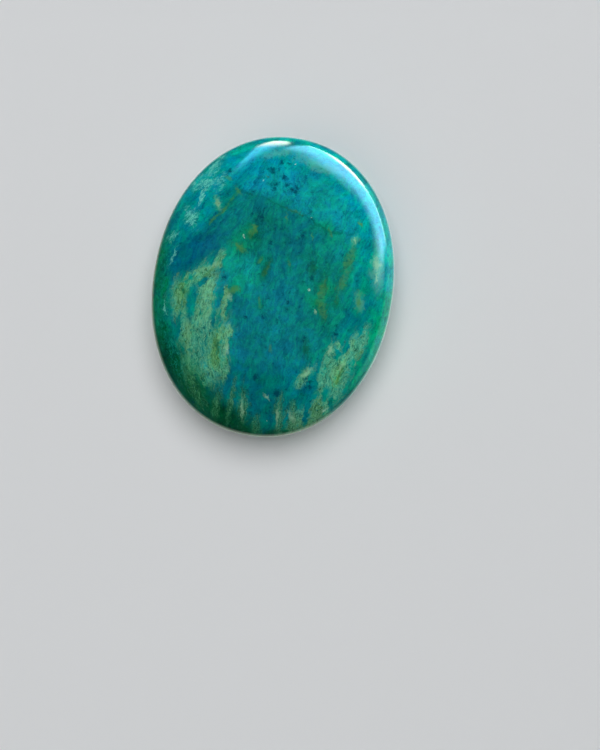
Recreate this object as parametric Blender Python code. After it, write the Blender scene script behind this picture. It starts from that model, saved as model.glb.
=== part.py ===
"""A polished oval of shattuckite, about 60 mm long, lying on the small flat on its underside.

The stone is one piece. Its outline is a slightly squared oval, its upper face is a low dome that turns
over a rounded shoulder to the girdle, and its underside is a shallower dome with a ground flat to rest on.
Lengths are in metres, +Z is up, +Y runs along the stone, and the origin is the middle of the flat.
"""

import math

import bmesh
import bpy

# The stone's overall sizes
LENGTH = 0.0600
WIDTH = 0.0474
CROWN = 0.0078  # height of the upper dome above the girdle
BELLY = 0.0080  # depth of the lower dome below the girdle, before the flat is ground

# How full each form is: 2 is a true ellipse, and a higher power is squarer
OUTLINE_POWER = 2.1
CROWN_POWER = 2.7
BELLY_POWER = 2.3

# The flat that it rests on is ground this far into the belly
FLAT_DEPTH = 0.00025

# Slow waves that polishing by hand leaves: height, wavelength, heading in degrees from +X, phase in radians
LAPPING_WAVES = (
    (0.00006, 0.021, 25.0, 0.4),
    (0.00005, 0.017, 112.0, 1.9),
    (0.00004, 0.013, 68.0, 3.1),
)

FACES_ACROSS = 24  # along each edge of the cube that the stone is shaped from

TEAL = (0.004, 0.185, 0.200, 1.0)
POLISH_ROUGHNESS = 0.12
STONE_IOR = 1.62

HALF_LENGTH = LENGTH / 2
HALF_WIDTH = WIDTH / 2
GIRDLE_HEIGHT = BELLY - FLAT_DEPTH


def clear_scene():
    for old in list(bpy.data.objects):
        bpy.data.objects.remove(old, do_unlink=True)


def even_on_sphere(corner):
    """A point of the cube from -1 to 1, moved to the unit sphere so that the faces come out alike in size."""
    spread = [math.tan(value * math.pi / 4) for value in corner]
    length = math.sqrt(sum(value * value for value in spread))
    return [value / length for value in spread]


def lapping(x, y):
    """How far the polished surface stands out at this place, as a sum of slow waves."""
    total = 0.0
    for height, wavelength, heading, phase in LAPPING_WAVES:
        along = x * math.cos(math.radians(heading)) + y * math.sin(math.radians(heading))
        total += height * math.sin(2 * math.pi * along / wavelength + phase)
    return total


def on_stone(direction):
    """The point of the stone's surface that this point of the unit sphere becomes, with the girdle at height 0."""
    across, along, up = direction
    if up > 0:
        height, power = CROWN, CROWN_POWER
    else:
        height, power = BELLY, BELLY_POWER
    outline = abs(across) ** OUTLINE_POWER + abs(along) ** OUTLINE_POWER
    reach = (outline ** (power / OUTLINE_POWER) + abs(up) ** power) ** (-1 / power)
    x = across * reach * HALF_WIDTH
    y = along * reach * HALF_LENGTH
    z = up * reach * height
    if up > 0:
        # The waves fade out at the girdle, so the outline stays a clean oval
        z += lapping(x, y) * up * up
    return x, y, z


def shape_stone(mesh):
    """Fills the mesh with the stone: a cube, cut evenly, rounded to the stone's form and ground flat below."""
    form = bmesh.new()
    bmesh.ops.create_cube(form, size=2.0)
    bmesh.ops.subdivide_edges(form, edges=form.edges[:], cuts=FACES_ACROSS - 1, use_grid_fill=True)
    for vertex in form.verts:
        x, y, z = on_stone(even_on_sphere(vertex.co))
        vertex.co = (x, y, z + GIRDLE_HEIGHT)
    grind_flat(form)
    bmesh.ops.recalc_face_normals(form, faces=form.faces[:])
    form.to_mesh(mesh)
    form.free()


def grind_flat(form):
    """Cuts the belly off level at height 0 and closes it with one flat face."""
    whole = form.verts[:] + form.edges[:] + form.faces[:]
    cut = bmesh.ops.bisect_plane(
        form, geom=whole, dist=1e-7, plane_co=(0, 0, 0), plane_no=(0, 0, -1), clear_outer=True
    )
    rim = [piece for piece in cut["geom_cut"] if isinstance(piece, bmesh.types.BMEdge)]
    bmesh.ops.edgeloop_fill(form, edges=rim)


def polished_teal():
    material = bpy.data.materials.new("polished_shattuckite")
    material.use_nodes = True
    shader = material.node_tree.nodes["Principled BSDF"]
    shader.inputs["Base Color"].default_value = TEAL
    shader.inputs["Roughness"].default_value = POLISH_ROUGHNESS
    shader.inputs["Metallic"].default_value = 0.0
    shader.inputs["IOR"].default_value = STONE_IOR
    return material


def make_stone(collection):
    mesh = bpy.data.meshes.new("shattuckite_stone")
    shape_stone(mesh)
    mesh.shade_smooth()
    mesh.set_sharp_from_angle(angle=math.radians(20))
    stone = bpy.data.objects.new("shattuckite_stone", mesh)
    stone.data.materials.append(polished_teal())
    collection.objects.link(stone)
    return stone


def main():
    clear_scene()
    collection = bpy.data.collections.new("shattuckite")
    bpy.context.scene.collection.children.link(collection)
    make_stone(collection)


main()
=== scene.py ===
"""The look of the polished oval of shattuckite: its surface, its stone, the floor, the light and the camera.

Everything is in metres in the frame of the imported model, +Z up. Marks on the stone are given in millimetres
as they are seen on the domed face: x across to the right and y up along the stone, with 0 at the outline's
centre.
"""

import math

import bmesh
import bpy
import numpy as np
from mathutils import Matrix, Vector


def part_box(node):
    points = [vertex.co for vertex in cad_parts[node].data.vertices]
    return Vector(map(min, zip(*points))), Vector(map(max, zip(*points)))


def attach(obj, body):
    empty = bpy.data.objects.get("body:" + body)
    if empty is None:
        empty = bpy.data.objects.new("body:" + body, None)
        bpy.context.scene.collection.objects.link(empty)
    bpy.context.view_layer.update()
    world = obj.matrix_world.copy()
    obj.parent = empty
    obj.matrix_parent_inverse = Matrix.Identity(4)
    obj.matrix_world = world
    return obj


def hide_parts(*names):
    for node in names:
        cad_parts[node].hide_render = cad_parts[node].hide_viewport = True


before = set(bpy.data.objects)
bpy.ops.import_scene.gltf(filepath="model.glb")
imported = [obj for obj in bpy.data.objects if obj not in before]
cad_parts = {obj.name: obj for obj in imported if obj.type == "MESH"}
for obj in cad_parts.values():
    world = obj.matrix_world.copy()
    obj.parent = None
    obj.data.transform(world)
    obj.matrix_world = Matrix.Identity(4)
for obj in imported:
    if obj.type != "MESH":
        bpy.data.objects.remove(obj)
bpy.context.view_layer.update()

NODE = "shattuckite_stone"
MM = 0.001

# The stone's form, as in the solid
LOW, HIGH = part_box(NODE)
HALF_WIDTH = (HIGH.x - LOW.x) / 2
HALF_LENGTH = (HIGH.y - LOW.y) / 2
CROWN = 0.0078
BELLY = 0.008
FLAT_DEPTH = 0.00025
GIRDLE_HEIGHT = BELLY - FLAT_DEPTH
OUTLINE_POWER = 2.1
CROWN_POWER = 2.7
BELLY_POWER = 2.3
# The slow waves that lapping left on the crown: height, length, heading in degrees and phase
LAPPING_WAVES = (
    (0.00006, 0.021, 25.0, 0.4),
    (0.00005, 0.017, 112.0, 1.9),
    (0.00004, 0.013, 68.0, 3.1),
)
FACES_ACROSS = 124

# The photograph: its frame in pixels, and where the stone lies in it
PHOTO_WIDTH = 600
PHOTO_HEIGHT = 750
STONE_CENTRE_PX = (273.3, 286.1)
PX_PER_MM = 5.035
OUTLINE_CENTRE_PX = (272.8, 287.6)  # where the marks' coordinates are 0
OUTLINE_PX_PER_MM = 5.07
LEAN = math.radians(9.85)  # of the stone's long axis from the picture's vertical, clockwise
VIEW_ELEVATION = math.radians(81)
LENS_MM = 50.0
SENSOR_MM = 36.0
NEAREST_SEEN = 0.005

FOCAL_PX = LENS_MM / SENSOR_MM * PHOTO_HEIGHT
GIRDLE_CENTRE = Vector((0, 0, GIRDLE_HEIGHT))

# The flat map of the stone's two halves, side by side
RIM_ROOM = 0.25  # of the map's radius goes to the drop from the face to the girdle
MAP_HALF_WIDTH = 0.24
MAP_HALF_LENGTH = MAP_HALF_WIDTH * HALF_LENGTH / HALF_WIDTH
UPPER_MAP_U = 0.25
LOWER_MAP_U = 0.75
MAP_V = 0.5

SMALL = 1e-6  # less than any real length or share


# The camera


def camera_pose():
    """The camera's rotation and place, from where the stone's centre falls in the picture and its scale."""
    right = (STONE_CENTRE_PX[0] - PHOTO_WIDTH / 2) / FOCAL_PX
    up = (PHOTO_HEIGHT / 2 - STONE_CENTRE_PX[1]) / FOCAL_PX
    depth = FOCAL_PX / PX_PER_MM * MM
    pitch = VIEW_ELEVATION + math.atan(up)
    turn = Matrix.Rotation(LEAN, 3, "Z") @ Matrix.Rotation(math.pi / 2 - pitch, 3, "X")
    return turn, GIRDLE_CENTRE - turn @ Vector((right * depth, up * depth, -depth))


CAMERA_TURN, CAMERA_PLACE = camera_pose()


def add_camera():
    data = bpy.data.cameras.new("camera")
    data.lens = LENS_MM
    data.sensor_width = SENSOR_MM
    data.clip_start = NEAREST_SEEN
    camera = bpy.data.objects.new("camera", data)
    camera.matrix_world = Matrix.Translation(CAMERA_PLACE) @ CAMERA_TURN.to_4x4()
    bpy.context.scene.collection.objects.link(camera)
    bpy.context.scene.camera = camera


# The stone's form

SEARCH_HEADROOM = 1.1  # times the crown's height, where the search for a seen place starts
SEARCH_STEPS = 30
PIT_SLOPE = 0.8
CUT_TOLERANCE = 1e-8


def fullness(point):
    """Under 1 inside the stone, 1 on its surface and over 1 outside, before waves, pits and the flat."""
    outline = abs(point.x / HALF_WIDTH) ** OUTLINE_POWER + abs(point.y / HALF_LENGTH) ** OUTLINE_POWER
    rise = point.z - GIRDLE_HEIGHT
    height, power = (CROWN, CROWN_POWER) if rise > 0 else (BELLY, BELLY_POWER)
    return outline ** (power / OUTLINE_POWER) + abs(rise / height) ** power


def on_face(x, y):
    """The point of the stone, in millimetres, that is seen at this place of the picture of its face."""
    px = OUTLINE_CENTRE_PX[0] + (x * math.cos(LEAN) + y * math.sin(LEAN)) * OUTLINE_PX_PER_MM
    py = OUTLINE_CENTRE_PX[1] + (x * math.sin(LEAN) - y * math.cos(LEAN)) * OUTLINE_PX_PER_MM
    ray = CAMERA_TURN @ Vector((px - PHOTO_WIDTH / 2, PHOTO_HEIGHT / 2 - py, -FOCAL_PX))
    ray /= -ray.z
    near = CAMERA_PLACE + ray * (CAMERA_PLACE.z - GIRDLE_HEIGHT - CROWN * SEARCH_HEADROOM)
    far = CAMERA_PLACE + ray * (CAMERA_PLACE.z - GIRDLE_HEIGHT)
    for _ in range(SEARCH_STEPS):
        middle = (near + far) / 2
        if fullness(middle) < 1:
            far = middle
        else:
            near = middle
    return far / MM


def shape_points(sphere):
    """The stone's surface points for points of the unit sphere, with the slow waves that polishing leaves."""
    across, along, up = sphere.T
    upper = up > 0
    power = np.where(upper, CROWN_POWER, BELLY_POWER)
    height = np.where(upper, CROWN, BELLY)
    outline = np.abs(across) ** OUTLINE_POWER + np.abs(along) ** OUTLINE_POWER
    reach = (outline ** (power / OUTLINE_POWER) + np.abs(up) ** power) ** (-1 / power)
    x = across * reach * HALF_WIDTH
    y = along * reach * HALF_LENGTH
    z = up * reach * height
    for wave, wavelength, heading, phase in LAPPING_WAVES:
        run = x * math.cos(math.radians(heading)) + y * math.sin(math.radians(heading))
        z += np.where(upper, wave * np.sin(2 * math.pi * run / wavelength + phase) * up * up, 0)
    return np.column_stack((x, y, z + GIRDLE_HEIGHT))


# Shallow pits in the softer patches: seen place, length, width and depth in mm, and heading in degrees
PITS = (
    (9.3, -16.7, 0.9, 0.5, 0.09, 70),
    (10.2, -17.2, 1.0, 0.6, 0.12, 40),
    (9.6, -18.3, 0.9, 0.6, 0.12, 95),
    (10.6, -18.0, 0.7, 0.5, 0.08, 120),
    (4.2, -20.4, 1.3, 0.8, 0.1, 20),
    (-6.9, -13.6, 0.8, 0.6, 0.07, 80),
    (14.4, -22.0, 1.6, 0.6, 0.06, 35),
    (-14.2, -9.0, 1.1, 0.6, 0.06, 100),
)


def sink_pits(points):
    for x, y, length, width, depth, heading in PITS:
        place = on_face(x, y) * MM
        turn = math.radians(heading)
        across = points[:, 0] - place.x
        along = points[:, 1] - place.y
        run = (across * math.cos(turn) + along * math.sin(turn)) / (length * MM / 2)
        side = (along * math.cos(turn) - across * math.sin(turn)) / (width * MM / 2)
        bowl = np.exp(-(run**2 + side**2) * PIT_SLOPE)
        points[:, 2] -= np.where(points[:, 2] > GIRDLE_HEIGHT, bowl * depth * MM, 0)


def map_place(upper, point):
    """Where a point of the upper or the lower half falls on the flat map, with room for the steep rim."""
    x, y, z = point
    reach = math.hypot(x / HALF_WIDTH, y / HALF_LENGTH)
    drop = 1 - min(1, abs(z - GIRDLE_HEIGHT) / (CROWN if upper else BELLY))
    stretched = (reach + RIM_ROOM * drop) / (1 + RIM_ROOM)
    scale = stretched / reach if reach > SMALL else 0
    u = (UPPER_MAP_U if upper else LOWER_MAP_U) + x / HALF_WIDTH * scale * MAP_HALF_WIDTH
    return u, MAP_V + y / HALF_LENGTH * scale * MAP_HALF_LENGTH


def rounded_cube():
    """A cube, cut evenly and rounded to the stone's form with its waves and pits, laid out on the map."""
    form = bmesh.new()
    bmesh.ops.create_cube(form, size=2.0)
    bmesh.ops.subdivide_edges(form, edges=form.edges[:], cuts=FACES_ACROSS - 1, use_grid_fill=True)
    cube = np.array([vertex.co for vertex in form.verts])
    spread = np.tan(cube * math.pi / 4)
    sphere = spread / np.linalg.norm(spread, axis=1)[:, None]
    points = shape_points(sphere)
    sink_pits(points)
    layer = form.loops.layers.uv.new("OFBake")
    for vertex, point in zip(form.verts, points):
        vertex.co = point
    form.verts.index_update()
    for face in form.faces:
        upper = sum(sphere[vertex.index][2] for vertex in face.verts) > 0
        for loop in face.loops:
            loop[layer].uv = map_place(upper, points[loop.vert.index])
    return form, layer


def grind_flat(form, layer):
    """Cuts the form off level with the floor and closes it. Returns the edges round the flat."""
    whole = form.verts[:] + form.edges[:] + form.faces[:]
    cut = bmesh.ops.bisect_plane(
        form, geom=whole, dist=CUT_TOLERANCE, plane_co=(0, 0, 0), plane_no=(0, 0, -1), clear_outer=True
    )
    rim = [piece for piece in cut["geom_cut"] if isinstance(piece, bmesh.types.BMEdge)]
    for face in bmesh.ops.edgeloop_fill(form, edges=rim)["faces"]:
        for loop in face.loops:
            loop[layer].uv = map_place(False, loop.vert.co)
    return rim


def make_stone(material):
    form, layer = rounded_cube()
    rim = grind_flat(form, layer)
    bmesh.ops.recalc_face_normals(form, faces=form.faces[:])
    for face in form.faces:
        face.smooth = True
    for edge in rim:
        edge.smooth = False

    mesh = bpy.data.meshes.new("polished_stone")
    form.to_mesh(mesh)
    form.free()
    stone = bpy.data.objects.new("polished_stone", mesh)
    stone.data.materials.append(material)
    bpy.context.scene.collection.objects.link(stone)
    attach(stone, "root")
    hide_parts(NODE)
    return stone


# Node helpers


class Tree:
    """Short ways to add nodes to a node tree. A value may be a number, a tuple or another node's socket."""

    def __init__(self, tree):
        self.tree = tree

    def add(self, kind, **settings):
        node = self.tree.nodes.new(kind)
        for name, value in settings.items():
            setattr(node, name, value)
        return node

    def feed(self, socket, value):
        if value is None:
            return
        if isinstance(value, bpy.types.NodeSocket):
            self.tree.links.new(value, socket)
        else:
            socket.default_value = value

    def math(self, operation, a, b=None, c=None, clamp=False):
        node = self.add("ShaderNodeMath", operation=operation, use_clamp=clamp)
        for socket, value in zip(node.inputs, (a, b, c)):
            self.feed(socket, value)
        return node.outputs[0]

    def product(self, *values):
        result = values[0]
        for value in values[1:]:
            result = self.math("MULTIPLY", result, value)
        return result

    def swing(self, base, noise, amount):
        """The base value, moved up and down by a noise that lies round 0.5."""
        return self.math("MULTIPLY_ADD", self.math("SUBTRACT", noise, 0.5), amount, base)

    def vector(self, operation, a, b=None, c=None, scale=None):
        node = self.add("ShaderNodeVectorMath", operation=operation)
        for socket, value in zip(node.inputs, (a, b, c)):
            self.feed(socket, value)
        if scale is not None:
            self.feed(node.inputs["Scale"], scale)
        return node.outputs["Value" if operation in ("LENGTH", "DISTANCE", "DOT_PRODUCT") else "Vector"]

    def along(self, place, axis):
        return self.vector("DOT_PRODUCT", place, axis)

    def noise(self, place, scale, detail=2.0, roughness=0.5, distortion=0.0, colour=False):
        node = self.add("ShaderNodeTexNoise")
        self.feed(node.inputs["Vector"], place)
        node.inputs["Scale"].default_value = scale
        node.inputs["Detail"].default_value = detail
        node.inputs["Roughness"].default_value = roughness
        node.inputs["Distortion"].default_value = distortion
        return node.outputs["Color"] if colour else node.outputs["Fac"]

    def bent(self, place, scale, reach):
        """The place, pushed about by a noise so that nothing drawn with it has a ruled edge."""
        noise = self.noise(place, scale, detail=3.0, roughness=0.6, colour=True)
        push = self.vector("SUBTRACT", noise, (0.5, 0.5, 0.5))
        return self.vector("MULTIPLY_ADD", push, reach, place)

    def ramp(self, value, low, high, to_low=0.0, to_high=1.0):
        """A smooth step of the value from one level at low to another at high."""
        node = self.add("ShaderNodeMapRange", interpolation_type="SMOOTHSTEP")
        self.feed(node.inputs["Value"], value)
        self.feed(node.inputs["From Min"], low)
        self.feed(node.inputs["From Max"], high)
        self.feed(node.inputs["To Min"], to_low)
        self.feed(node.inputs["To Max"], to_high)
        return node.outputs["Result"]

    def mix(self, amount, a, b, blend="MIX"):
        node = self.add("ShaderNodeMix", data_type="RGBA", blend_type=blend)
        self.feed(node.inputs["Factor"], amount)
        for name, value in (("A", a), ("B", b)):
            socket = next(s for s in node.inputs if s.name == name and s.type == "RGBA")
            self.feed(socket, value)
        return next(s for s in node.outputs if s.type == "RGBA")

    def times(self, colour, factors):
        """The colour, each of its channels multiplied by its factor."""
        return self.mix(1.0, colour, factors, "MULTIPLY")

    def nearest(self, place, strokes):
        """How far the place is from the closest of some lens-shaped strokes: 0 in its middle, 1 at its edge.

        A stroke runs from one seen place to another with a half-width, all in millimetres.
        """
        closest = None
        for x1, y1, x2, y2, half_width in strokes:
            start = on_face(x1, y1)
            end = on_face(x2, y2)
            run = end - start
            ahead = Vector((run.x, run.y, 0))
            ahead = ahead.normalized() if ahead.length > SMALL else Vector((0, 1, 0))
            beside = Vector((-ahead.y, ahead.x, 0))
            offset = self.vector("SUBTRACT", place, (start + end) / 2)
            along = self.along(offset, ahead / (run.length / 2 + half_width))
            across = self.along(offset, beside / half_width)
            square = self.math("MULTIPLY_ADD", across, across, self.math("MULTIPLY", along, along))
            closest = square if closest is None else self.math("MINIMUM", closest, square)
        return self.math("SQRT", closest)

    def spots(self, place, spots):
        """The distance in millimetres to the rim of the closest of some round spots, under 0 inside it."""
        closest = None
        for x, y, radius in spots:
            away = self.vector("DISTANCE", place, on_face(x, y))
            away = self.math("SUBTRACT", away, radius)
            closest = away if closest is None else self.math("MINIMUM", closest, away)
        return closest

    def line(self, place, points):
        """The distance in millimetres from the place to a line through some seen places."""
        closest = None
        for (x1, y1), (x2, y2) in zip(points, points[1:]):
            start = on_face(x1, y1)
            run = on_face(x2, y2) - start
            offset = self.vector("SUBTRACT", place, start)
            share = self.math("ADD", self.along(offset, run / run.length_squared), 0.0, clamp=True)
            foot = self.vector("SCALE", run, scale=share)
            away = self.vector("LENGTH", self.vector("SUBTRACT", offset, foot))
            closest = away if closest is None else self.math("MINIMUM", closest, away)
        return closest

    def beyond(self, place, first, second):
        """How far the place lies in millimetres to the right of the way from one seen place to another."""
        start = on_face(*first)
        run = on_face(*second) - start
        right = Vector((run.y, -run.x, 0)).normalized()
        return self.along(self.vector("SUBTRACT", place, start), right)


def rgb(red, green, blue):
    return (red, green, blue, 1.0)


# The stone's colours, as linear values

DEEP_TEAL = rgb(0.0, 0.163, 0.174)
LIGHT_TEAL = rgb(0.0, 0.222, 0.231)
TURQUOISE_AND_PAINTED_LIGHT = rgb(0.0, 0.277, 0.292)
TOP_BLUE = rgb(0.0, 0.262, 0.328)
WEDGE_TEAL = rgb(0.0, 0.175, 0.162)
BRIGHT_GREEN = rgb(0.0, 0.34, 0.265)
OLIVE_TEAL = rgb(0.004, 0.215, 0.155)
EAST_TEAL = rgb(0.0, 0.268, 0.228)
DIM_TEAL = rgb(0.0, 0.14, 0.132)
PAINTED_SKY_SHEEN = rgb(0.0, 0.35, 0.41)
GLIMPSED_TEAL = rgb(0.004, 0.24, 0.2)
BLUE_BAND = rgb(0.0, 0.12, 0.18)
LOW_BLUE = rgb(0.0, 0.205, 0.236)
LOW_TEAL = rgb(0.0, 0.136, 0.144)
RIM_GREEN = rgb(0.001, 0.19, 0.09)
RIGHT_GREEN = rgb(0.004, 0.32, 0.195)
PAINTED_RIM_LIGHT = rgb(0.004, 0.4, 0.37)
LOW_GREEN = rgb(0.004, 0.08, 0.036)
CELADON = rgb(0.069, 0.298, 0.142)
BLUE_CELADON = rgb(0.059, 0.29, 0.192)
OLIVE_CELADON = rgb(0.091, 0.24, 0.085)
LIGHT_CELADON = rgb(0.138, 0.4, 0.195)
PALE_CELADON = rgb(0.23, 0.58, 0.33)
MINT = rgb(0.199, 0.7, 0.56)
HAZE = rgb(0.168, 0.5, 0.37)
MOSS = rgb(0.038, 0.135, 0.068)
RIM_THREAD = rgb(0.027, 0.3, 0.21)
OCHRE = rgb(0.087, 0.222, 0.054)
HEALED_OLIVE = rgb(0.046, 0.225, 0.07)
GOLD = rgb(0.098, 0.262, 0.05)
BROWN = rgb(0.015, 0.095, 0.045)
NAVY_SPECK = rgb(0.0, 0.042, 0.078)
CHALK = rgb(0.441, 0.68, 0.58)
CREAM = rgb(0.31, 0.56, 0.35)
FRACTURE_GREEN = rgb(0.0, 0.085, 0.06)

# Broad zones of hue, laid on before and after the darker wedge below the fracture, among them painted light
# over the upper right, along the upper rim and at the inner edges of the mirrored windows: colour, how
# strong, and the strokes that it covers
ZONES_BEFORE_WEDGE = (
    (LOW_BLUE, 0.9, (
        (2, -3, 4, -14, 6),
        (7, -17, 8.5, -21, 2.6),
        (-4, -10, 0, -20, 4),
    )),
    # Partly the stone's turquoise and partly painted light: brighter over the upper right, where the light
    # comes from
    (TURQUOISE_AND_PAINTED_LIGHT, 1, ((2, 20.5, 17, 15, 9.5),)),
    (TOP_BLUE, 0.9, ((-9, 22, 0, 23, 6), (-14.5, 15, -15, 17.5, 2.2))),
)
ZONES_AFTER_WEDGE = (
    (WEDGE_TEAL, 0.6, ((-5, 17.5, 1, 17.2, 1.4),)),
    (BRIGHT_GREEN, 0.8, ((-8, 5.5, -5.6, 0.4, 3.3),)),
    (OLIVE_TEAL, 0.8, (
        (9, 8, 9.5, -4, 4),
        (-6, 10.5, -8, 7, 2.4),
        (7.5, 13.4, 12, 10.5, 2),
    )),
    (EAST_TEAL, 0.8, ((17, 10, 16.5, 1, 3.4),)),
    (TURQUOISE_AND_PAINTED_LIGHT, 0.75, ((-17.5, 10, -15.5, 19, 3.4), (-20.8, 4.4, -19.8, 12, 1.8))),
    (DIM_TEAL, 0.7, ((-3, 12.5, 4, 11.5, 3.6), (7.2, -9.6, 7.8, -11.4, 1.6))),
    # Painted reflection: bright sky teal at the inner edges of the two mirrored windows
    (PAINTED_SKY_SHEEN, 0.7, ((12, 19.6, 16.6, 14.6, 1.8), (-12.8, 22, -10.4, 23.2, 1.5))),
    (LIGHT_TEAL, 0.6, (
        (-12.5, 11, -8, 13.5, 2.6),
        (-3, -4, -1.5, -1, 2.4),
        (0, 5.5, 2, 1, 2.4),
    )),
    (GLIMPSED_TEAL, 0.9, (
        (-15.3, -2, -15.3, -9, 1.8),
        (13.4, -4, 15.6, -8, 2.2),
        (14.8, -10, 15, -21, 2.8),
        (11.4, -9, 11, -14, 1.4),
    )),
    (LOW_TEAL, 0.7, ((0.5, -16, 3, -26, 5),)),
    (BLUE_BAND, 1, ((-18.8, 1, -13, 8, 2.8),)),
    (RIM_GREEN, 0.9, (
        (-23.5, -8, -23, 5, 2.6),
        (-21.6, -1, -21.2, -6, 1.6),
        (-20, -15, -23, -5, 3.2),
    )),
    (LOW_GREEN, 0.95, (
        (-19.5, -15.5, -9, -25.5, 3.8),
        (-9, -25.5, 1, -29.5, 3.2),
        (3, -29, 10, -28, 1.6),
    )),
    (RIGHT_GREEN, 0.9, ((21.5, -10, 22.8, 3, 2.8), (18.5, -17.5, 21.5, -10, 2.2))),
    # Painted rim light and reflection: bright cyan bands along the upper rim, right and left of the top
    (PAINTED_RIM_LIGHT, 0.8, (
        (22.8, 4, 20.2, 15, 1.5),
        (20.2, 15, 10.5, 26.4, 1.3),
        (10.5, 26.4, 0, 29.6, 1.2),
    )),
    (PAINTED_RIM_LIGHT, 0.7, (
        (0, 29.6, -8, 28, 1.1),
        (-8, 28, -16, 22, 1.2),
        (-16, 22, -21.5, 12, 1.2),
    )),
)

# The old fracture, healed: from its corner it runs down to the left and across to the right
FRACTURE_LEFT = ((-9.7, 17.8), (-10.6, 16.2), (-11.6, 14.4), (-12.9, 12.4), (-14.5, 10.4))
FRACTURE_RIGHT = ((-9.7, 17.8), (-7.4, 17.3), (-5.2, 17.2), (-2, 16.3), (1.5, 15.4), (5, 14.7))
FRACTURE_END = ((5, 14.7), (7.2, 13.5), (9.4, 12.6), (11.5, 13.1), (13.6, 13))

# Celadon patches
PATCHES = (
    (-10.9, 5.4, -12.4, 1.8, 0.6),
    (-12.2, 2, -17, -0.8, 0.8),
    (-13.6, -0.4, -13, -8, 2.5),
    (-15.8, -1.4, -18.6, -3.6, 1.1),
    (-18.2, -3, -17.8, -7.2, 1.5),
    (-12.5, -6, -12.6, -17, 3),
    (-8.3, -10, -8.4, -18, 1.9),
    (-7.3, -9.3, -7, -10.6, 0.8),
    (-15.5, -8, -15.6, -12.5, 1.6),
    (-9.5, -17, -10, -19, 2.2),
    (-6.9, -15.5, -6.6, -19, 0.7),
    (-9, -2.5, -8.6, -8, 0.5),
    (13.3, -9.8, 13.2, -13, 0.9),
    (14.6, -9, 15.2, -9.8, 0.5),
    (18.8, -7, 16.8, -12, 1.6),
    (16, -12, 14.8, -17, 2.2),
    (12.9, -14, 13, -17.6, 1),
    (16.8, -15, 15.9, -19.5, 1),
    (12.9, -21, 12.8, -23.5, 1.4),
    (14.6, -20.5, 14.4, -22.5, 0.9),
    (8.6, -26.8, 9.4, -24.4, 1.3),
    (10.5, -26.6, 12.6, -24.6, 1.1),
    (8.3, -17.6, 9.9, -14.8, 0.9),
)

# Teal that shows through the patches
ISLANDS = (
    (-15.3, -2.6, -15.2, -8.2, 1),
    (-13.4, -0.6, -14.5, -2, 0.55),
    (-14.2, 4.6, -18.4, 1.2, 1.1),
    (-10.1, -2.2, -10.2, -5.6, 0.65),
    (-10.4, -6.8, -10.5, -9.4, 0.5),
    (-16.9, -10, -17.2, -13, 0.6),
    (14.9, -10.6, 14.7, -11.4, 0.4),
    (16.4, -8.4, 16.2, -9.6, 0.45),
    (13.8, -18.2, 13.7, -19.6, 0.6),
    (15.1, -19.8, 15.2, -21.4, 0.4),
    (10.6, -23, 10.7, -25.4, 0.5),
    (10.4, -16.8, 10.2, -18.2, 0.3),
)

# Fields of colour within the patches
BLUE_FIELDS = (
    (-12.4, -9.5, -12.1, -17.5, 1.9),
    (-16.9, -9, -17.2, -13, 1),
    (19.2, -6, 14, -19, 3),
    (13, -14, 13.2, -17.6, 1.2),
    (16.8, -15, 15.6, -20, 1.2),
    (13.6, -9.4, 13.4, -12, 0.8),
)
OLIVE_FIELDS = (
    (-9, -12.2, -8.8, -16.5, 1.2),
    (-17.9, -3, -17.5, -7, 0.9),
    (-15.3, -8.5, -14.4, -15.5, 0.6),
    (-9, -3.5, -9, -7.5, 0.5),
    (15.2, -12.8, 14.7, -16.4, 0.5),
    (19.2, -9.8, 18.4, -11, 0.5),
    (12.8, -20.6, 12.6, -24, 1.2),
    (8.8, -27, 12, -24.8, 1.4),
)
PALE_FIELDS = (
    (-12.2, -1.6, -12.3, -6.8, 1.1),
    (-12.6, 2.2, -18, -1.4, 0.45),
    (-19.4, -2.8, -19.8, -4.6, 0.4),
    (-13.8, -7.2, -13.2, -9.8, 0.5),
    (-7.3, -9.4, -6.8, -14, 0.6),
    (-8.9, -9.6, -8.6, -11.4, 0.6),
    (17.8, -7, 17.4, -8.6, 0.4),
    (16.4, -10.6, 16, -13.4, 0.5),
    (14.6, -13.4, 14.8, -15.6, 0.4),
    (15.8, -13.6, 15.3, -16.2, 0.6),
    (8.7, -16.2, 10, -14.6, 0.4),
)

# Painted shade: places darkened down to the left, on the side turned away from the light
PAINTED_SHADES = (
    (-19, -15.5, -9, -25, 3.4),
    (-10, -25.5, 1, -29.5, 2.6),
)

# Thin pale seams
SEAMS = (
    ((-15.7, -8.4), (-15, -11.2), (-14.5, -14.2), (-13.9, -17), (-13.2, -20)),
    ((-9.2, -2.2), (-8.7, -4.2), (-8.9, -7), (-9.3, -8.8)),
    ((-20.6, -3.4), (-21, -6.6), (-20.4, -10.4), (-19.4, -13.2)),
)

# Mossy streaks that rise from the lower edge
STREAKS = (
    (-4.3, -20.2, -4.4, -27, 0.6),
    (-2, -22, -1.4, -27.5, 1),
    (5.2, -22, 5.9, -27.5, 0.9),
    (-7, -22.5, -7, -27, 0.8),
    (-12.4, -21, -10, -25, 1.3),
    (8, -23, 8.4, -27, 0.8),
    (1.4, -27, 1.6, -29, 0.9),
)

# Wisps of pale mint
WISPS = (
    (-17.8, 17.9, -14.6, 18.8, 1.6),
    (-16.9, 18.2, -15, 22.2, 1.1),
    (-18.8, 11.8, -17.8, 10.2, 1.3),
    (-17.2, 13.8, -16.6, 17, 0.5),
    (-21.6, 6, -20.8, 7.2, 0.7),
    (-20.8, 1.4, -20.1, 4, 0.35),
    (-20.3, -7.2, -20.1, -8.6, 0.5),
)

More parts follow.
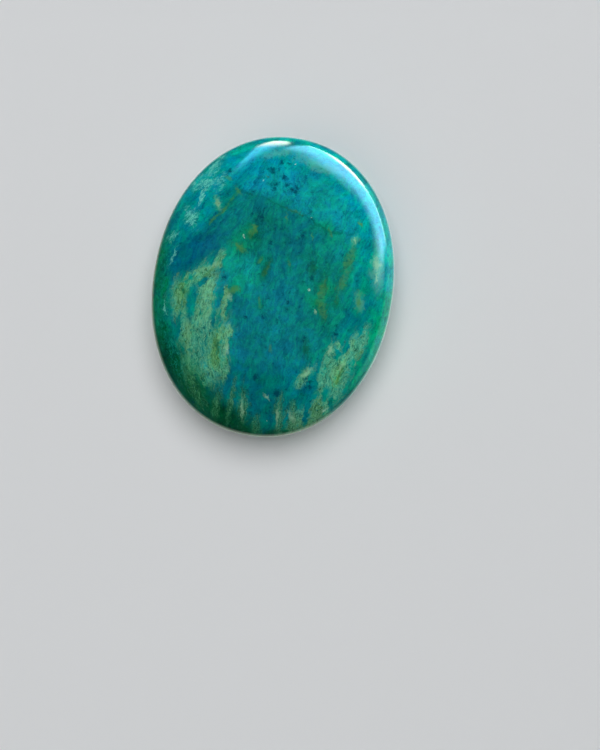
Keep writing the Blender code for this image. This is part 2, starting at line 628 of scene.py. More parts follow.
# Soft pale clouds
HAZES = (
    (-6, 25.4, -1.5, 27, 0.8),
    (0.5, 26.2, 8, 24.6, 1.1),
    (19.4, 8, 19.9, 4.6, 1.2),
    (14.6, 12.6, 14.2, 11.4, 0.6),
    (17.2, 1.2, 17.6, -0.8, 0.9),
    (-13.9, 15, -13.2, 14, 0.7),
)

# Thin threads along the left rim
RIM_THREADS = (
    (-21.6, 9, -21.8, 1, 2),
    (-21.6, -1, -19.6, -13, 1.8),
    (-18, -13, -15.5, -19, 1.6),
)

# Olive and ochre stains
STAINS = (
    (-5.8, 11, -6.2, 9.6, 0.8),
    (-8.4, 6.9, -6.8, 6.4, 0.8),
    (-3.6, 4.6, -3.1, 5.3, 0.5),
    (-1.5, 4.6, -2.2, 2, 0.5),
    (2.2, 5.9, 2.5, 4.9, 0.35),
    (-8.3, -2.1, -7.3, -1.5, 0.7),
    (-2.3, -2.4, -1.9, -3.8, 0.4),
    (14.4, 10.8, 13.7, 5.5, 0.95),
    (13.9, 7, 13, 0.8, 1),
    (9.9, 2.8, 9.5, -1.4, 0.9),
    (10, -1.2, 10.8, -3.6, 0.9),
    (17.2, 1.6, 17.2, -0.6, 0.5),
    (14.6, 15.8, 15.2, 14.8, 0.4),
    (-13.8, 14.9, -13.3, 14, 0.35),
    (-17.2, -2.8, -17, -4.4, 0.7),
    (-9.3, -11.5, -9, -15, 0.7),
    (16, -13.5, 15.6, -16, 0.5),
)

# Small spots of gold
GOLDS = (
    (-10.3, 18, -9.7, 17.3, 0.35),
    (0.8, 15.6, 2.6, 15.3, 0.25),
    (0.2, 14.6, 0.4, 13.6, 0.16),
    (9.1, 13, 9.6, 12.2, 0.25),
    (-12.5, 19.9, -12, 19.8, 0.28),
    (-4.9, 21.5, -4.7, 21.4, 0.18),
    (-5.6, 11.2, -5.4, 10.8, 0.35),
    (-7.9, -1.9, -7, -1.5, 0.5),
    (1.5, -11.6, 1.6, -12.2, 0.28),
    (-8.3, 7, -7.8, 6.6, 0.3),
    (5.9, 11.6, 6, 10.8, 0.15),
    (14.8, 15.4, 15.2, 14.9, 0.18),
    (-12.4, 13, -11.8, 13.8, 0.22),
    (-14.2, 11, -13.6, 11.7, 0.25),
    (-13.4, 0.2, -12, 2.2, 0.3),
    (15.6, -15.4, 15.4, -16.4, 0.25),
)

# Small brown stains
BROWNS = (
    (6.9, 5.9, 7.1, 4, 0.6),
    (-1.9, 4.2, -2.1, 2.4, 0.4),
    (8.3, -10, 8.7, -11.6, 0.6),
    (-9, -12.6, -8.8, -13.6, 0.3),
    (-17.6, -3.2, -17.2, -3.8, 0.3),
)

# Cream-green cores, brightest in the clouds of the right half
CREAMS = (
    (19.2, 8.5, 19.5, 7.6, 0.6),
    (19.7, 6, 19.8, 4.8, 0.15),
    (8.9, -16, 9.9, -14.8, 0.3),
    (13.3, -9.9, 13.2, -10.6, 0.25),
    (16.1, -12.6, 15.8, -13.6, 0.2),
    (13.9, -22.2, 14.6, -21.6, 0.2),
    (-7, -13, -6.8, -13.8, 0.3),
    (-8.3, -2.9, -8.1, -3.4, 0.35),
    (-12.4, 2, -11.8, 2.6, 0.3),
    (-13.6, 14.8, -13.3, 14.3, 0.3),
    (14.2, 12.4, 14.5, 11.6, 0.14),
    (8.8, -3, 9.1, -3.6, 0.1),
    (5.1, -23.8, 5.3, -26, 0.14),
    (-2.1, -23.2, -1.7, -25.6, 0.18),
    (7.8, -24.2, 8.3, -24.8, 0.4),
    (2.3, -21.3, 2.7, -21.6, 0.25),
)

# Navy specks that are placed one by one: place and radius
DARKS = (
    (-2.5, 24.7, 0.36),
    (-4.1, 22.9, 0.34),
    (-3.7, 22.4, 0.28),
    (-2.7, 23.3, 0.18),
    (-1.3, 21.7, 0.36),
    (-0.5, 20.5, 0.32),
    (-3.7, 19.8, 0.22),
    (-2.9, 20.1, 0.28),
    (-3, 19.2, 0.3),
    (0.4, 19.6, 0.34),
    (1.3, 20.3, 0.3),
    (1.3, 19.3, 0.3),
    (-7.2, 18, 0.22),
    (-4.9, 23, 0.2),
    (-0.8, 24.6, 0.18),
    (4.8, 15.9, 0.24),
    (-4.6, 13.2, 0.3),
    (-6.6, 13.6, 0.22),
    (4, 11.2, 0.24),
    (-1.9, 8.8, 0.22),
    (-12.2, 21.2, 0.36),
    (-9.8, 0.4, 0.3),
    (-4.4, -6.6, 0.14),
    (-0.4, -2.2, 0.12),
    (3.5, -2.3, 0.3),
    (2.1, -6.5, 0.1),
    (-0.9, -6, 0.18),
    (7.8, -8.6, 0.2),
    (7.7, -9.4, 0.16),
    (-0.4, -18, 0.4),
    (4.3, -20.4, 0.5),
    (13.8, -6.9, 0.25),
    (9.4, -16.7, 0.25),
    (10.3, -17.2, 0.3),
    (9.7, -18.4, 0.25),
    (10.6, -18, 0.25),
    (7.3, 3, 0.25),
)

# Chalky dots: place and radius
DOTS = (
    (-7.3, 9, 0.1),
    (5, 14.8, 0.1),
    (0.3, 24.8, 0.13),
    (7.1, 0.9, 0.14),
    (-5.5, 20.5, 0.08),
    (-6.9, -13.7, 0.14),
    (3.5, -26.1, 0.1),
    (14.1, -22.2, 0.14),
    (14.6, -21.9, 0.14),
)


# The noises and the places of the marks. An edge says where a thing begins and where it is full

RIGHTWARD = (1.0, 0.0, 0.0)
ONWARD = (0.0, 1.0, 0.0)
UPWARD = (0.0, 0.0, 1.0)

GENTLE_SCALE = 0.3
GENTLE_BEND = (2.6, 2.6, 1.0)
ROUGH_SCALE = 1.1
ROUGH_BEND = (1.5, 1.5, 0.5)
FIBRE_STRETCH = (1.0, 0.24, 0.6)
ARCH_FOOT = 8.0
ARCH_CURVE = 0.017
ARCH_SPAN = (-1.0, -9.0)
RIGHT_LEAN = 0.25
LEAN_SPAN = (0.0, 12.0)
THREAD_EDGE = (0.035, 0.004)
CROSS_EDGE = (0.03, 0.004)
CROSS_STRENGTH = 0.7
SEEN_FROM = (2.5, 5.0)  # millimetres up, where the face's marks fade in


class Ground:
    """The places on the stone, in millimetres, and the noises that its marks share."""

    def __init__(self, tree):
        self.tree = tree
        coordinates = tree.add("ShaderNodeTexCoord")
        self.place = tree.vector("SCALE", coordinates.outputs["Object"], scale=1 / MM)
        self.bent = tree.bent(self.place, GENTLE_SCALE, GENTLE_BEND)
        self.rough = tree.bent(self.place, ROUGH_SCALE, ROUGH_BEND)
        self.flow = self.along_fibres()

        self.fibre = tree.noise(self.flow, 0.95, detail=5.0, roughness=0.62)
        self.fine = tree.noise(self.flow, 3.0, detail=4.0, roughness=0.6)
        self.grain = tree.noise(self.place, 3.4, detail=3.0, roughness=0.65)
        self.pebble = tree.noise(self.rough, 1.5, detail=2.0, roughness=0.55)
        clouds = tree.noise(self.bent, 0.42, detail=4.0, roughness=0.62, colour=True)
        self.mottle = tree.along(clouds, RIGHTWARD)
        self.hue = tree.along(clouds, ONWARD)
        self.third = tree.along(clouds, UPWARD)
        self.threads = self.fine_threads()

        # What is seen on the face runs over the girdle and dies out below it
        self.upper = tree.ramp(tree.along(self.bent, UPWARD), *SEEN_FROM)

    def along_fibres(self):
        """The place, squeezed along the fibres, which arch on the left half and lean on the right half."""
        tree = self.tree
        x = tree.along(self.bent, RIGHTWARD)
        y = tree.along(self.bent, ONWARD)
        arch = tree.math("POWER", tree.math("ADD", y, ARCH_FOOT), 2.0)
        arch = tree.math("MULTIPLY", arch, tree.ramp(x, *ARCH_SPAN, 0.0, ARCH_CURVE))
        lean = tree.math("MULTIPLY", y, tree.ramp(x, *LEAN_SPAN, 0.0, RIGHT_LEAN))
        shift = tree.add("ShaderNodeCombineXYZ")
        tree.feed(shift.inputs["X"], tree.math("ADD", arch, lean))
        flow = tree.vector("SUBTRACT", self.bent, shift.outputs[0])
        return tree.vector("MULTIPLY", flow, FIBRE_STRETCH)

    def fine_threads(self):
        """Fine bright threads along the fibres, with a few across them, where a noise passes its middle."""
        tree = self.tree
        thread = tree.noise(self.flow, 1.7, detail=3.0, roughness=0.6, distortion=0.5)
        thread = tree.math("ABSOLUTE", tree.math("SUBTRACT", thread, 0.5))
        cross = tree.noise(self.bent, 1.2, detail=3.0, roughness=0.6)
        cross = tree.math("ABSOLUTE", tree.math("SUBTRACT", cross, 0.5))
        cross = tree.ramp(cross, *CROSS_EDGE, 0.0, CROSS_STRENGTH)
        return tree.math("MAXIMUM", tree.ramp(thread, *THREAD_EDGE), cross)

    def swing(self, base, **amounts):
        """The base value, moved up and down by the named noises, each with its amount."""
        for name, amount in amounts.items():
            base = self.tree.swing(base, getattr(self, name), amount)
        return base

    def reach(self, strokes, **amounts):
        """How far the place is from the strokes, made ragged by the named noises."""
        return self.swing(self.tree.nearest(self.rough, strokes), **amounts)

    def shown(self, reach, outer, inner, strength=1.0):
        """Nothing at the outer reach, the strength at the inner one, and nothing on the underside."""
        return self.tree.product(self.tree.ramp(reach, outer, inner), self.upper, strength)


# The body: its drift from deep to light teal, its zones, the wedge below the fracture, its tints and light
DRIFT_EDGE = (0.38, 0.62)
ZONE_EDGE = (1.35, 0.35)
WEDGE_EDGE = (-1.3, 0.3)
WEDGE_END = (17.0, 6.0)
WEDGE_STRENGTH = 0.85
TINT_EDGE = (0.3, 0.7)
TINT_SWINGS = {"fibre": 0.9, "fine": 0.7}
BLUER = rgb(1.0, 0.9, 1.16)
GREENER = rgb(1.0, 1.09, 0.84)
BODY_SWINGS = {"fibre": 1.2, "fine": 1.0, "mottle": 1.0, "pebble": 0.6, "grain": 0.65}
FLOW_SWING = 0.8

# The patches: their feathered and cloudy edges, the gaps in them, and their own colours and light
RAGGED_SWINGS = {"fibre": 2.4, "fine": 1.5}
RAGGED_EDGE = (1.25, 0.7)
RAGGED_SHARE = 0.62
CLOUDY_SWINGS = {"fibre": 1.6, "mottle": 2.0}
CLOUDY_EDGE = (1.75, 0.75)
CLOUDY_SHARE = 0.38
ISLAND_EDGE = (0.5, 1.4)
UNDERSIDE_EDGE = (0.55, 0.62)
UNDERSIDE_FIBRE_EDGE = (0.42, 0.54)
FIBRE_GAP_EDGE = (0.55, 0.68)
FIBRE_GAP_COVER = 0.3
PEBBLE_GAP_EDGE = (0.56, 0.68)
PEBBLE_GAP_COVER = 0.4
PATCH_COVER = 0.97
BLUE_TO_GREEN = (0.42, 0.6)
OLIVE_EDGE = (0.55, 0.68)
OLIVE_STRENGTH = 0.8
PATCH_BASE_LIGHT = 1.05
PATCH_LEAST_LIGHT = 0.3
PATCH_SWINGS = {"fine": 3.0, "fibre": 0.9, "grain": 1.0, "pebble": 1.1, "mottle": 1.4}
FIELDS = ((BLUE_FIELDS, BLUE_CELADON), (OLIVE_FIELDS, OLIVE_CELADON), (PALE_FIELDS, LIGHT_CELADON))
FIELD_EDGE = (1.5, 0.5)
FIELD_STRENGTH = 0.8
THREAD_LIGHT = 0.6
RIM_EDGE = (0.25, 0.0)
RIM_LIGHT = 0.35
SEAM_EDGE = (0.3, 0.05)
SEAM_LIGHT = 0.55

# The streaks, the painted shade, the threads, the wisps and the clouds
MOSS_EDGE = (1.6, 0.3)
MOSS_STRENGTH = 0.85
MOSS_THREADS = 0.9
MOSS_SWINGS = {"fine": 2.2, "grain": 1.4}
PAINTED_SHADE_EDGE = (1.5, 0.6)
PAINTED_SHADE_FACTORS = rgb(0.66, 0.8, 0.66)
RIM_THREAD_EDGE = (1.5, 0.5)
RIM_THREAD_STRENGTH = 0.8
LACE_EDGE = (0.53, 0.59)
WISP_EDGE = (1.6, 0.3)
WISP_STRENGTH = 0.84
HAZE_EDGE = (1.7, 0.2)
HAZE_STRENGTH = 0.42

# The stains: a green halo round an ochre core, and the small ones with their strengths
HALO_EDGE = (2.6, 0.6)
HALO_FACTORS = rgb(1.0, 1.02, 0.74)
HALO_STRENGTH = 0.8
CORE_EDGE = (1.35, 0.15)
CORE_STRENGTH = 0.5
SMALL_STAIN_EDGE = (2.1, 0.2)
SMALL_STAINS = ((BROWNS, BROWN, 0.65), (CREAMS, CREAM, 0.6), (GOLDS, GOLD, 0.5))

# The arms of the fracture: its places, colour, strength and half-width
FRACTURE_ARMS = (
    (FRACTURE_LEFT, HEALED_OLIVE, 0.75, 0.5),
    (FRACTURE_RIGHT, FRACTURE_GREEN, 0.62, 0.42),
    (FRACTURE_END, FRACTURE_GREEN, 0.62, 0.6),
)

# Where specks are thick, and their two sizes: cells to the millimetre, how far a speck reaches in its cell,
# the chance it needs where they are sparse and where they are thick, and its strength
SPECK_CLUSTERS = (
    (-5.0, 22.0, 0.5, 21.0, 4.6),
    (-12.0, 21.0, -15.0, 12.0, 2.4),
)
SPECK_SIZES = (
    (0.8, 0.36, 0.66, 0.25, 0.55),
    (1.6, 0.42, 0.6, 0.35, 0.45),
)
CLUSTER_EDGE = (1.5, 0.6)
DARK_EDGE = (0.46, -0.25)
DARK_STRENGTH = 0.82
DOT_EDGE = (0.14, -0.12)
DOT_STRENGTH = 0.85

# The polish
RED_SWALLOWED = (0.03, 0.0, 0.0)
POLISH_ROUGHNESS = 0.08
PATCH_ROUGHNESS = 0.05
GRAIN_ROUGHNESS = 0.04
STONE_IOR = 1.54
BUMP_STRENGTH = 0.35
BUMP_HEIGHT = 0.00002
BUMP_FINE_SHARE = 0.6
BUMP_GRAIN_SHARE = 0.4


def add_zones(tree, ground, colour, zones):
    for hue, strength, strokes in zones:
        reach = tree.nearest(ground.bent, strokes)
        colour = tree.mix(tree.ramp(reach, *ZONE_EDGE, 0.0, strength), colour, hue)
    return colour


def body_colour(tree, ground):
    """Teal in broad zones, some of them partly painted light, mottled in brightness and in hue."""
    drift = tree.noise(ground.place, 0.085)
    colour = tree.mix(tree.ramp(drift, *DRIFT_EDGE), DEEP_TEAL, LIGHT_TEAL)
    colour = add_zones(tree, ground, colour, ZONES_BEFORE_WEDGE)

    # Below the fracture the teal is darker and greener, with a clear edge along it
    under_right = tree.beyond(ground.rough, FRACTURE_RIGHT[0], FRACTURE_END[-2])
    under_left = tree.beyond(ground.rough, FRACTURE_LEFT[-1], FRACTURE_LEFT[0])
    wedge = tree.math("MINIMUM", under_right, under_left)
    fade = tree.ramp(tree.math("MAXIMUM", under_right, under_left), *WEDGE_END)
    wedge = tree.math("MULTIPLY", tree.ramp(wedge, *WEDGE_EDGE, 0.0, WEDGE_STRENGTH), fade)
    colour = tree.mix(wedge, colour, WEDGE_TEAL)

    colour = add_zones(tree, ground, colour, ZONES_AFTER_WEDGE)
    tint = tree.ramp(ground.swing(ground.hue, **TINT_SWINGS), *TINT_EDGE)
    colour = tree.times(colour, tree.mix(tint, BLUER, GREENER))
    light = ground.swing(1.0, **BODY_SWINGS)
    light = tree.swing(light, tree.noise(ground.flow, 0.34), FLOW_SWING)
    return tree.vector("SCALE", colour, scale=light)


def patch_hue(tree, ground, ragged):
    """The patches' own colours, with fibres, and pale along their threads, their rims and their seams."""
    hue = tree.mix(tree.ramp(ground.hue, *BLUE_TO_GREEN), BLUE_CELADON, CELADON)
    hue = tree.mix(tree.ramp(ground.third, *OLIVE_EDGE, 0.0, OLIVE_STRENGTH), hue, OLIVE_CELADON)
    for strokes, field_hue in FIELDS:
        reach = ground.reach(strokes, fibre=2.2)
        hue = tree.mix(tree.ramp(reach, *FIELD_EDGE, 0.0, FIELD_STRENGTH), hue, field_hue)
    light = tree.math("MAXIMUM", ground.swing(PATCH_BASE_LIGHT, **PATCH_SWINGS), PATCH_LEAST_LIGHT)
    hue = tree.vector("SCALE", hue, scale=light)

    rim = tree.ramp(tree.math("ABSOLUTE", tree.math("SUBTRACT", ragged, 1.0)), *RIM_EDGE)
    rim = tree.math("MULTIPLY", rim, RIM_LIGHT)
    pale = tree.math("MAXIMUM", tree.math("MULTIPLY", ground.threads, THREAD_LIGHT), rim)
    for points in SEAMS:
        away = ground.swing(tree.line(ground.rough, points), grain=0.5)
        pale = tree.math("MAXIMUM", pale, tree.ramp(away, *SEAM_EDGE, 0.0, SEAM_LIGHT))
    return tree.mix(pale, hue, PALE_CELADON)


def add_patches(tree, ground, colour):
    """Celadon patches with feathered, fibrous edges. Returns the colour, and how much of it is patch."""
    reach = tree.nearest(ground.rough, PATCHES)
    gaps = tree.ramp(tree.nearest(ground.rough, ISLANDS), *ISLAND_EDGE)
    ragged = ground.swing(reach, **RAGGED_SWINGS)
    cloudy = ground.swing(reach, **CLOUDY_SWINGS)
    feathers = tree.ramp(ragged, *RAGGED_EDGE, 0.0, RAGGED_SHARE)
    clouds = tree.ramp(cloudy, *CLOUDY_EDGE, 0.0, CLOUDY_SHARE)
    patch = tree.product(tree.math("ADD", feathers, clouds), gaps, ground.upper)

    # The underside has patches of its own
    lower = tree.noise(ground.bent, 0.11, detail=3.0, roughness=0.6)
    lower = tree.ramp(lower, *UNDERSIDE_EDGE)
    under = tree.math("SUBTRACT", 1.0, ground.upper)
    lower = tree.product(lower, tree.ramp(ground.fibre, *UNDERSIDE_FIBRE_EDGE), under)
    patch = tree.math("MAXIMUM", patch, lower)

    hue = patch_hue(tree, ground, ragged)
    fibre_gaps = tree.ramp(ground.fibre, *FIBRE_GAP_EDGE, 1.0, FIBRE_GAP_COVER)
    pebble_gaps = tree.ramp(ground.pebble, *PEBBLE_GAP_EDGE, 1.0, PEBBLE_GAP_COVER)
    cover = tree.product(patch, tree.product(fibre_gaps, pebble_gaps), PATCH_COVER)
    return tree.mix(cover, colour, hue), patch


def add_lower_edge(tree, ground, colour):
    """Mossy streaks that rise from the lower edge, and painted shade down to the left."""
    amount = ground.shown(ground.reach(STREAKS, fibre=2.6, fine=2.0), *MOSS_EDGE, MOSS_STRENGTH)
    moss = tree.mix(tree.math("MULTIPLY", ground.threads, MOSS_THREADS), MOSS, LIGHT_CELADON)
    moss = tree.vector("SCALE", moss, scale=ground.swing(1.0, **MOSS_SWINGS))
    colour = tree.mix(amount, colour, moss)
    # Painted shade: the colour is multiplied darker down to the left
    amount = ground.shown(ground.reach(PAINTED_SHADES, fibre=1.6), *PAINTED_SHADE_EDGE)
    return tree.mix(amount, colour, tree.times(colour, PAINTED_SHADE_FACTORS))


def add_wisps(tree, ground, colour):
    """Threads along the left rim, lacy wisps of mint and soft pale clouds."""
    rim = ground.shown(ground.reach(RIM_THREADS), *RIM_THREAD_EDGE, RIM_THREAD_STRENGTH)
    rim = tree.product(rim, ground.threads, tree.ramp(ground.pebble, 0.4, 0.56))
    colour = tree.mix(rim, colour, RIM_THREAD)

    lace = tree.noise(ground.flow, 1.35, detail=4.0, roughness=0.68)
    lace = tree.math("MAXIMUM", tree.ramp(lace, *LACE_EDGE), ground.threads)
    strand = tree.product(lace, tree.ramp(ground.pebble, 0.4, 0.6, 0.25, 1.0))
    reach = ground.reach(WISPS, fibre=1.6)
    veil = tree.math("MULTIPLY_ADD", strand, WISP_STRENGTH, tree.ramp(reach, 0.9, 0.0, 0.06, 0.26))
    mask = ground.shown(ground.swing(reach, mottle=2.6), *WISP_EDGE)
    colour = tree.mix(tree.math("MULTIPLY", mask, veil), colour, MINT)

    haze = ground.shown(ground.reach(HAZES, fine=1.6, mottle=2.4), *HAZE_EDGE, HAZE_STRENGTH)
    return tree.mix(haze, colour, HAZE)


def add_stains(tree, ground, colour):
    """Stains that glow green round an olive middle, brown ones, spots of gold and cream-green cores."""
    reach = ground.reach(STAINS, fine=1.4, mottle=1.8)
    halo = ground.shown(reach, *HALO_EDGE, HALO_STRENGTH)
    colour = tree.mix(halo, colour, tree.times(colour, HALO_FACTORS))
    core = ground.shown(reach, *CORE_EDGE, ground.swing(CORE_STRENGTH, pebble=1.2))
    colour = tree.mix(core, colour, OCHRE)
    for strokes, hue, strength in SMALL_STAINS:
        reach = ground.reach(strokes, fine=1.8, grain=2.2)
        colour = tree.mix(ground.shown(reach, *SMALL_STAIN_EDGE, strength), colour, hue)
    return colour


def add_fracture(tree, ground, colour):
    """The healed fracture: olive on its left arm, and a broken dark green line along its right arm."""
    for points, hue, strength, width in FRACTURE_ARMS:
        away = ground.swing(tree.line(ground.rough, points), grain=0.5)
        broken = tree.ramp(ground.pebble, 0.36, 0.58, 0.3, 1.0)
        amount = tree.product(ground.shown(away, width, 0.0, strength), broken)
        colour = tree.mix(amount, colour, hue)
    return colour


def add_specks(tree, ground, colour):
    """Navy specks, thick in the blue at the top and sparse elsewhere, and a few chalky dots."""
    cluster = tree.ramp(tree.nearest(ground.bent, SPECK_CLUSTERS), *CLUSTER_EDGE)
    for scale, size, sparse, dense, strength in SPECK_SIZES:
        cells = tree.add("ShaderNodeTexVoronoi")
        tree.feed(cells.inputs["Vector"], ground.rough)
        cells.inputs["Scale"].default_value = scale
        chance = tree.along(cells.outputs["Color"], RIGHTWARD)
        chance = tree.math("SUBTRACT", chance, tree.ramp(cluster, 0.0, 1.0, sparse, dense))
        spot = tree.ramp(ground.swing(cells.outputs["Distance"], grain=0.4), size, 0.0)
        speck = tree.product(spot, tree.ramp(chance, 0.0, 0.15), strength)
        colour = tree.mix(speck, colour, NAVY_SPECK)

    reach = ground.swing(tree.spots(ground.rough, DARKS), grain=0.9)
    colour = tree.mix(ground.shown(reach, *DARK_EDGE, DARK_STRENGTH), colour, NAVY_SPECK)
    reach = ground.swing(tree.spots(ground.rough, DOTS), grain=0.4)
    return tree.mix(ground.shown(reach, *DOT_EDGE, DOT_STRENGTH), colour, CHALK)


def stone_material():
    material = bpy.data.materials.new("polished_shattuckite")
    material.use_nodes = True
    tree = Tree(material.node_tree)
    shader = material.node_tree.nodes["Principled BSDF"]
    ground = Ground(tree)
    colour = body_colour(tree, ground)
    colour, patch = add_patches(tree, ground, colour)
    for add_layer in (add_lower_edge, add_wisps, add_stains, add_fracture, add_specks):
        colour = add_layer(tree, ground, colour)

    # The teal swallows what little red there is at the fringes of a mark
    share = tree.vector("DIVIDE", colour, tree.vector("ADD", colour, RED_SWALLOWED))
    tree.feed(shader.inputs["Base Color"], tree.vector("MULTIPLY", colour, share))

    # The polish is a little duller on the softer patches
    dull = tree.math("MULTIPLY_ADD", patch, PATCH_ROUGHNESS, POLISH_ROUGHNESS)
    tree.feed(shader.inputs["Roughness"], ground.swing(dull, grain=GRAIN_ROUGHNESS))
    shader.inputs["IOR"].default_value = STONE_IOR

    bump = tree.add("ShaderNodeBump")
    bump.inputs["Strength"].default_value = BUMP_STRENGTH
    bump.inputs["Distance"].default_value = BUMP_HEIGHT
    height = tree.math("MULTIPLY", ground.grain, BUMP_GRAIN_SHARE)
    tree.feed(bump.inputs["Height"], tree.math("MULTIPLY_ADD", ground.fine, BUMP_FINE_SHARE, height))
    tree.feed(shader.inputs["Normal"], bump.outputs[0])
    return material


# The floor

FLOOR_RADIUS = 1.6
FLOOR_RING = 0.4
SWEEP_RADIUS = 0.9
SWEEP_STEPS = 12
FLOOR_SIDES = 96
WELD_DISTANCE = 0.00001
FLOOR_COLOUR = rgb(0.87, 0.875, 0.885)
FLOOR_ROUGHNESS = 0.7


def floor_material():
    material = bpy.data.materials.new("pale_floor")
    material.use_nodes = True
    shader = material.node_tree.nodes["Principled BSDF"]
    shader.inputs["Base Color"].default_value = FLOOR_COLOUR
    shader.inputs["Roughness"].default_value = FLOOR_ROUGHNESS
    shader.inputs["Specular IOR Level"].default_value = 0.0
    return material


def make_floor():
    """A round pale floor that sweeps up into a wall far off, and that the polish doesn't mirror."""
    profile = [(0.0, 0.0), (FLOOR_RING, 0.0), (FLOOR_RADIUS, 0.0)]
    for step in range(1, SWEEP_STEPS + 1):
        turn = math.pi / 2 * step / SWEEP_STEPS
        radius = FLOOR_RADIUS + SWEEP_RADIUS * math.sin(turn)
        profile.append((radius, SWEEP_RADIUS * (1 - math.cos(turn))))
    form = bmesh.new()
    points = [form.verts.new((radius, 0, height)) for radius, height in profile]
    edges = [form.edges.new(pair) for pair in zip(points, points[1:])]
    bmesh.ops.spin(
        form, geom=points + edges, axis=UPWARD, cent=(0, 0, 0), steps=FLOOR_SIDES, angle=2 * math.pi
    )
    bmesh.ops.remove_doubles(form, verts=form.verts[:], dist=WELD_DISTANCE)
    bmesh.ops.recalc_face_normals(form, faces=form.faces[:])
    for face in form.faces:
        face.smooth = True
    mesh = bpy.data.meshes.new("floor")
    form.to_mesh(mesh)
    form.free()
    floor = bpy.data.objects.new("floor", mesh)
    floor.data.materials.append(floor_material())
    floor.visible_glossy = False
    bpy.context.scene.collection.objects.link(floor)


# The lights and the air: headings, elevations and the panes' sizes in degrees as the stone sees them

PANE_DISTANCE = 1.0
RIGHT_WINDOW = {"heading": 51.0, "elevation": 22.75, "width": 74.0, "height": 42.5}
RIGHT_SKY = rgb(2.8, 7.7, 12.0)
RIGHT_SILL = rgb(7.6, 12.7, 12.2)
SUNLIT_SPOT = rgb(18.5, 16.0, 12.0)
SPOT_PLACE = (0.56, 0.1, 0.0)
SPOT_SQUEEZE = (5.2, 5.4, 0.0)
SILL_EDGE = (0.115, 0.045)
SPOT_EDGE = (1.1, 0.5)

LEFT_WINDOW = {"heading": 95.5, "elevation": 20.0, "width": 60.0, "height": 24.0, "roll": 61.0}
LEFT_SKY = rgb(1.4, 7.8, 12.4)
LEFT_HOT = rgb(14.0, 13.4, 11.0)
HOT_EDGE = (0.52, 0.28)

DIM_WINDOW = {"heading": 13.0, "elevation": 28.0, "width": 26.0, "height": 30.0}
DIM_SKY = rgb(1.5, 2.7, 2.2)

COOL = (0.94, 1.0, 1.0)
NEUTRAL = (0.98, 0.99, 1.0)
WARM = (1.0, 0.955, 0.92)
KEY = {"heading": 54, "elevation": 13, "distance": 1.2, "size": 0.6, "colour": COOL, "radiance": 11.0}
SIDE = {"heading": 8, "elevation": 12, "distance": 1.2, "size": 0.5, "colour": COOL, "radiance": 3.0}
FILL_HIGH = {"heading": 80, "elevation": 74, "distance": 1.3, "size": 1.3, "colour": NEUTRAL, "radiance": 3.1}
FILL_LOW = {"heading": -125, "elevation": 50, "distance": 1.4, "size": 1.2, "colour": WARM, "radiance": 0.9}

AIR_LEVEL = rgb(0.02, 0.06, 0.06)
AIR_ABOVE = rgb(0.004, 0.014, 0.016)
AIR_BELOW = rgb(0.02, 0.04, 0.03)
GLOW_HEADING = 8
GLOW = rgb(0.5, 1.2, 1.15)
PALE_EDGE_HEADING = 50
PALE_EDGE = rgb(0.85, 1.1, 1.05)
FAINT_EDGE = rgb(0.55, 0.64, 0.54)


def picture_heading(degrees):
    """A direction in the plan, from an angle counted anticlockwise from the picture's right."""
    angle = math.radians(degrees) + LEAN
    return Vector((math.cos(angle), math.sin(angle), 0))


def place_lamp(name, data, heading, elevation, distance, roll=0.0):
    """Puts a flat light where the stone sees it at a heading and an elevation, facing the stone."""
    away = picture_heading(heading) * math.cos(math.radians(elevation))
    away.z = math.sin(math.radians(elevation))
    facing = (-away).to_track_quat("-Z", "Y").to_matrix() @ Matrix.Rotation(math.radians(roll), 3, "Z")
    lamp = bpy.data.objects.new(name, data)
    lamp.matrix_world = Matrix.Translation(GIRDLE_CENTRE + away * distance) @ facing.to_4x4()
    bpy.context.scene.collection.objects.link(lamp)
    return lamp


def add_pane(name, heading, elevation, width, height, roll=0.0):
    """A pane of light that only the polish mirrors.

    Returns its node tree, with the place across and up it from 0 to 1, to paint its radiance with.
    """
    data = bpy.data.lights.new(name, "AREA")
    data.shape = "RECTANGLE"
    data.size = 2 * PANE_DISTANCE * math.tan(math.radians(width / 2))
    data.size_y = 2 * PANE_DISTANCE * math.tan(math.radians(height / 2))
    data.energy = math.pi * data.size * data.size_y
    data.use_nodes = True
    lamp = place_lamp(name, data, heading, elevation, PANE_DISTANCE, roll)
    lamp.visible_diffuse = False
    lamp.visible_camera = False
    tree = Tree(data.node_tree)
    spread = tree.add("ShaderNodeNewGeometry").outputs["Parametric"]
    return tree, spread, tree.along(spread, RIGHTWARD), tree.along(spread, ONWARD)


def light_pane(tree, radiance, amount):
    emission = tree.tree.nodes["Emission"]
    tree.feed(emission.inputs["Color"], radiance)
    tree.feed(emission.inputs["Strength"], amount)


def add_right_window():
    """Blue sky over a bright sill, with a sunlit spot on it. It fades at the top and at both ends."""
    tree, spread, across, up = add_pane("right_window", **RIGHT_WINDOW)
    sky = tree.mix(tree.ramp(up, *SILL_EDGE), RIGHT_SKY, RIGHT_SILL)
    away = tree.vector("MULTIPLY", tree.vector("SUBTRACT", spread, SPOT_PLACE), SPOT_SQUEEZE)
    sky = tree.mix(tree.ramp(tree.vector("LENGTH", away), *SPOT_EDGE), sky, SUNLIT_SPOT)

    # Its cloudy top comes down towards the left end
    clouds = tree.noise(spread, 6.0, detail=3.0, roughness=0.6)
    left = tree.ramp(across, 0.6, 1.0)
    high = tree.math("MULTIPLY_ADD", left, 0.24, up)
    high = tree.math("ADD", high, tree.ramp(across, 0.56, 0.42, 0.0, 0.06))
    top = tree.ramp(tree.swing(high, clouds, 0.3), 1.0, 0.6)
    slant = tree.math("MULTIPLY_ADD", up, -0.14, across)
    ends = tree.product(tree.ramp(across, 0.0, 0.12), tree.ramp(slant, 0.875, 0.84))
    light_pane(tree, sky, tree.product(top, ends, tree.swing(1.0, clouds, 0.7)))


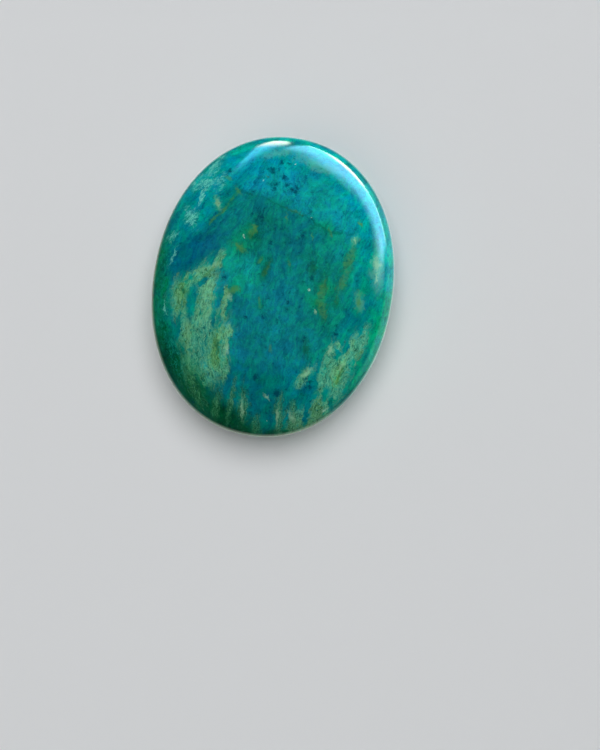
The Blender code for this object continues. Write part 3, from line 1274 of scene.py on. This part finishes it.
def add_left_window():
    """A slanted pane, white hot at its upper end and blue towards the other, that fades on its inner side."""
    tree, _, across, up = add_pane("left_window", **LEFT_WINDOW)
    sky = tree.mix(tree.ramp(across, *HOT_EDGE), LEFT_SKY, LEFT_HOT)
    inner = tree.math("MULTIPLY_ADD", tree.math("SUBTRACT", across, 0.5), 0.45, up)
    inner = tree.ramp(inner, 0.8, 0.35)
    tip = tree.ramp(tree.math("MULTIPLY_ADD", across, -1.3, up), 0.3, 0.2)
    ends = tree.product(tree.ramp(across, 0.09, 0.15), tree.ramp(across, 1.0, 0.7), tip)
    outer = tree.math("SUBTRACT", up, tree.ramp(across, 0.35, 0.75, 0.0, 0.22))
    light_pane(tree, sky, tree.product(inner, ends, tree.ramp(outer, 0.0, 0.12)))


def add_dim_window():
    """A faint greenish pane past the right end of the bright one."""
    tree, _, across, up = add_pane("dim_window", **DIM_WINDOW)
    rise = tree.product(tree.ramp(up, 0.0, 0.3), tree.ramp(up, 1.0, 0.6))
    sides = tree.product(tree.ramp(across, 0.0, 0.4), tree.ramp(across, 1.0, 0.8))
    light_pane(tree, DIM_SKY, tree.product(rise, sides))


def add_soft(name, heading, elevation, distance, size, colour, radiance):
    """A round soft light that shades the stone and the floor, and that the polish doesn't mirror."""
    data = bpy.data.lights.new(name, "AREA")
    data.shape = "DISK"
    data.size = size
    data.color = colour
    data.energy = radiance * math.pi * math.pi * size**2 / 4
    lamp = place_lamp(name, data, heading, elevation, distance)
    lamp.visible_glossy = False
    lamp.visible_camera = False
    return lamp


def add_lights(stone):
    """The mirrored windows, and the soft lights, two of which reach the stone alone."""
    add_right_window()
    add_left_window()
    add_dim_window()
    stone_only = bpy.data.collections.new("stone_only")
    stone_only.objects.link(stone)
    for lamp in (add_soft("key", **KEY), add_soft("side", **SIDE)):
        lamp.light_linking.receiver_collection = stone_only
    add_soft("fill_high", **FILL_HIGH)
    add_soft("fill_low", **FILL_LOW)


def add_air():
    """Dark air with a glow low on the right, a pale edge above and to the right, and a fainter one below."""
    world = bpy.data.worlds.new("air")
    bpy.context.scene.world = world
    world.use_nodes = True
    tree = Tree(world.node_tree)
    direction = tree.add("ShaderNodeTexCoord").outputs["Generated"]
    height = tree.along(direction, UPWARD)
    colour = tree.mix(tree.ramp(height, 0.0, 0.35), AIR_LEVEL, AIR_ABOVE)
    colour = tree.mix(tree.ramp(height, 0.0, -0.3), colour, AIR_BELOW)

    right = tree.ramp(tree.along(direction, picture_heading(GLOW_HEADING)), 0.66, 0.95)
    right = tree.math("MULTIPLY", right, tree.ramp(height, 0.22, -0.05))
    colour = tree.mix(right, colour, GLOW)
    above = tree.ramp(tree.along(direction, picture_heading(PALE_EDGE_HEADING)), -0.22, 0.22)
    edge = tree.math("MULTIPLY", above, tree.ramp(height, -0.4, -0.85))
    colour = tree.mix(edge, colour, PALE_EDGE)
    edge = tree.math("MULTIPLY", tree.math("SUBTRACT", 1.0, above), tree.ramp(height, -0.4, -0.72))
    colour = tree.mix(edge, colour, FAINT_EDGE)
    tree.feed(world.node_tree.nodes["Background"].inputs["Color"], colour)


def main():
    bpy.context.scene.view_settings.view_transform = "Standard"
    add_camera()
    make_floor()
    add_lights(make_stone(stone_material()))
    add_air()


main()
